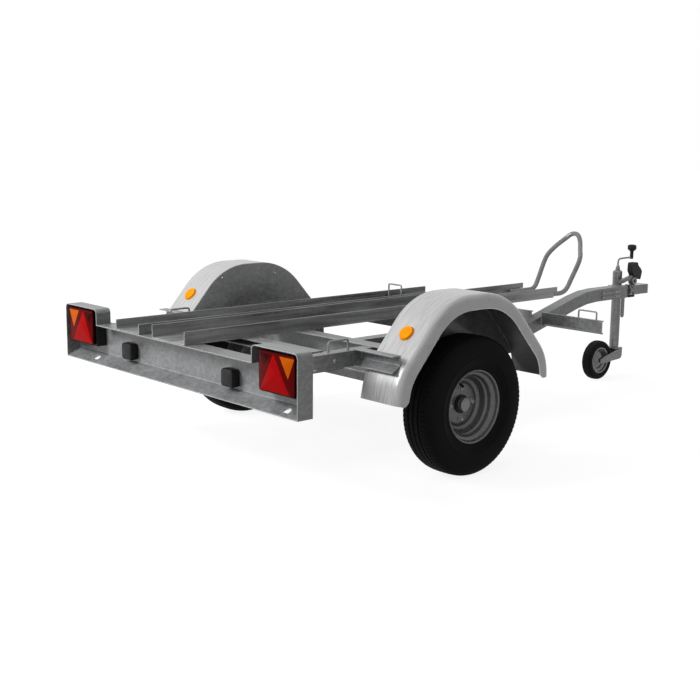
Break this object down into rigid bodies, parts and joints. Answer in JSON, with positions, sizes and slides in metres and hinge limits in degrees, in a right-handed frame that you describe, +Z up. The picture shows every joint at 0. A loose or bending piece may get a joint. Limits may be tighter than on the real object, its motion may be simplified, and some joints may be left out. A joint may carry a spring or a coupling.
{
  "type": "motorcycle trailer",
  "caption": "Light single-axle motorcycle trailer with a wheel channel, chock hoop, fenders, light bar and goose-neck drawbar, parked on its jockey wheel.",
  "frame": {"origin": "middle of the bounding box, on the ground", "axes": "+X towards the coupling, +Y left, +Z up"},
  "size_m": [2.921, 1.472, 0.7677],
  "materials": {
    "galvanised": "dull galvanised",
    "sheet_zinc": "smooth zinc sheet",
    "plated": "bright zinc plate",
    "tyre_rubber": "matt",
    "rim_paint": "satin silver",
    "black_plastic": "matt",
    "red_lens": "gloss",
    "amber_lens": "gloss"
  },
  "bodies": {
    "chassis": {"axle_beam": "galvanised", "chock_hoop": "plated", "coupling_body": "plated", "coupling_lever": "black_plastic", "cross_member_axle": "galvanised", "cross_member_front_left": "galvanised", "cross_member_front_right": "galvanised", "cross_member_mid": "galvanised", "cross_member_rear": "galvanised", "drawbar": "galvanised", "fender_left": "sheet_zinc", "fender_right": "sheet_zinc", "jockey_crank": "plated", "jockey_tube": "plated", "lamp_housing_left": "black_plastic", "lamp_housing_right": "black_plastic", "lamp_lens_left": "red_lens", "lamp_lens_right": "red_lens", "light_bar": "galvanised", "loading_ramp": "galvanised", "longitudinal_left": "galvanised", "longitudinal_right": "galvanised", "plate_lamp_left": "black_plastic", "plate_lamp_right": "black_plastic", "rear_loop_left": "galvanised", "rear_loop_right": "galvanised", "reflector_left": "amber_lens", "reflector_right": "amber_lens", "side_rail_left": "galvanised", "side_rail_right": "galvanised", "swing_arm_left": "galvanised", "swing_arm_right": "galvanised", "wheel_channel": "galvanised"},
    "wheel_left": {"tyre_left": "tyre_rubber", "rim_left": "rim_paint", "wheel_hub_left": "galvanised", "hub_cap_left": "plated"},
    "wheel_right": {"tyre_right": "tyre_rubber", "rim_right": "rim_paint", "wheel_hub_right": "galvanised", "hub_cap_right": "plated"},
    "jockey_stem": {"jockey_leg": "plated"},
    "jockey_castor": {"jockey_fork": "plated"},
    "jockey_wheel": {"jockey_tyre": "tyre_rubber", "jockey_disc": "plated"}
  },
  "joints": [
    {"name": "wheel_left_spin", "type": "hinge", "parent": "chassis", "child": "wheel_left", "pos_m": [-0.6395, 0.655, 0.255], "axis": [0, 1, 0], "continuous": true},
    {"name": "wheel_right_spin", "type": "hinge", "parent": "chassis", "child": "wheel_right", "pos_m": [-0.6395, -0.655, 0.255], "axis": [0, 1, 0], "continuous": true},
    {"name": "jockey_slide", "type": "slide", "parent": "chassis", "child": "jockey_stem", "axis": [0, 0, 1], "range_m": [-0.15, 0]},
    {"name": "castor_swivel", "type": "hinge", "parent": "jockey_stem", "child": "jockey_castor", "pos_m": [1.2945, 0.0575, 0.15], "axis": [0, 0, 1], "continuous": true},
    {"name": "jockey_wheel_spin", "type": "hinge", "parent": "jockey_castor", "child": "jockey_wheel", "pos_m": [1.1515, 0.0575, 0.0985], "axis": [0, 1, 0], "continuous": true}
  ]
}
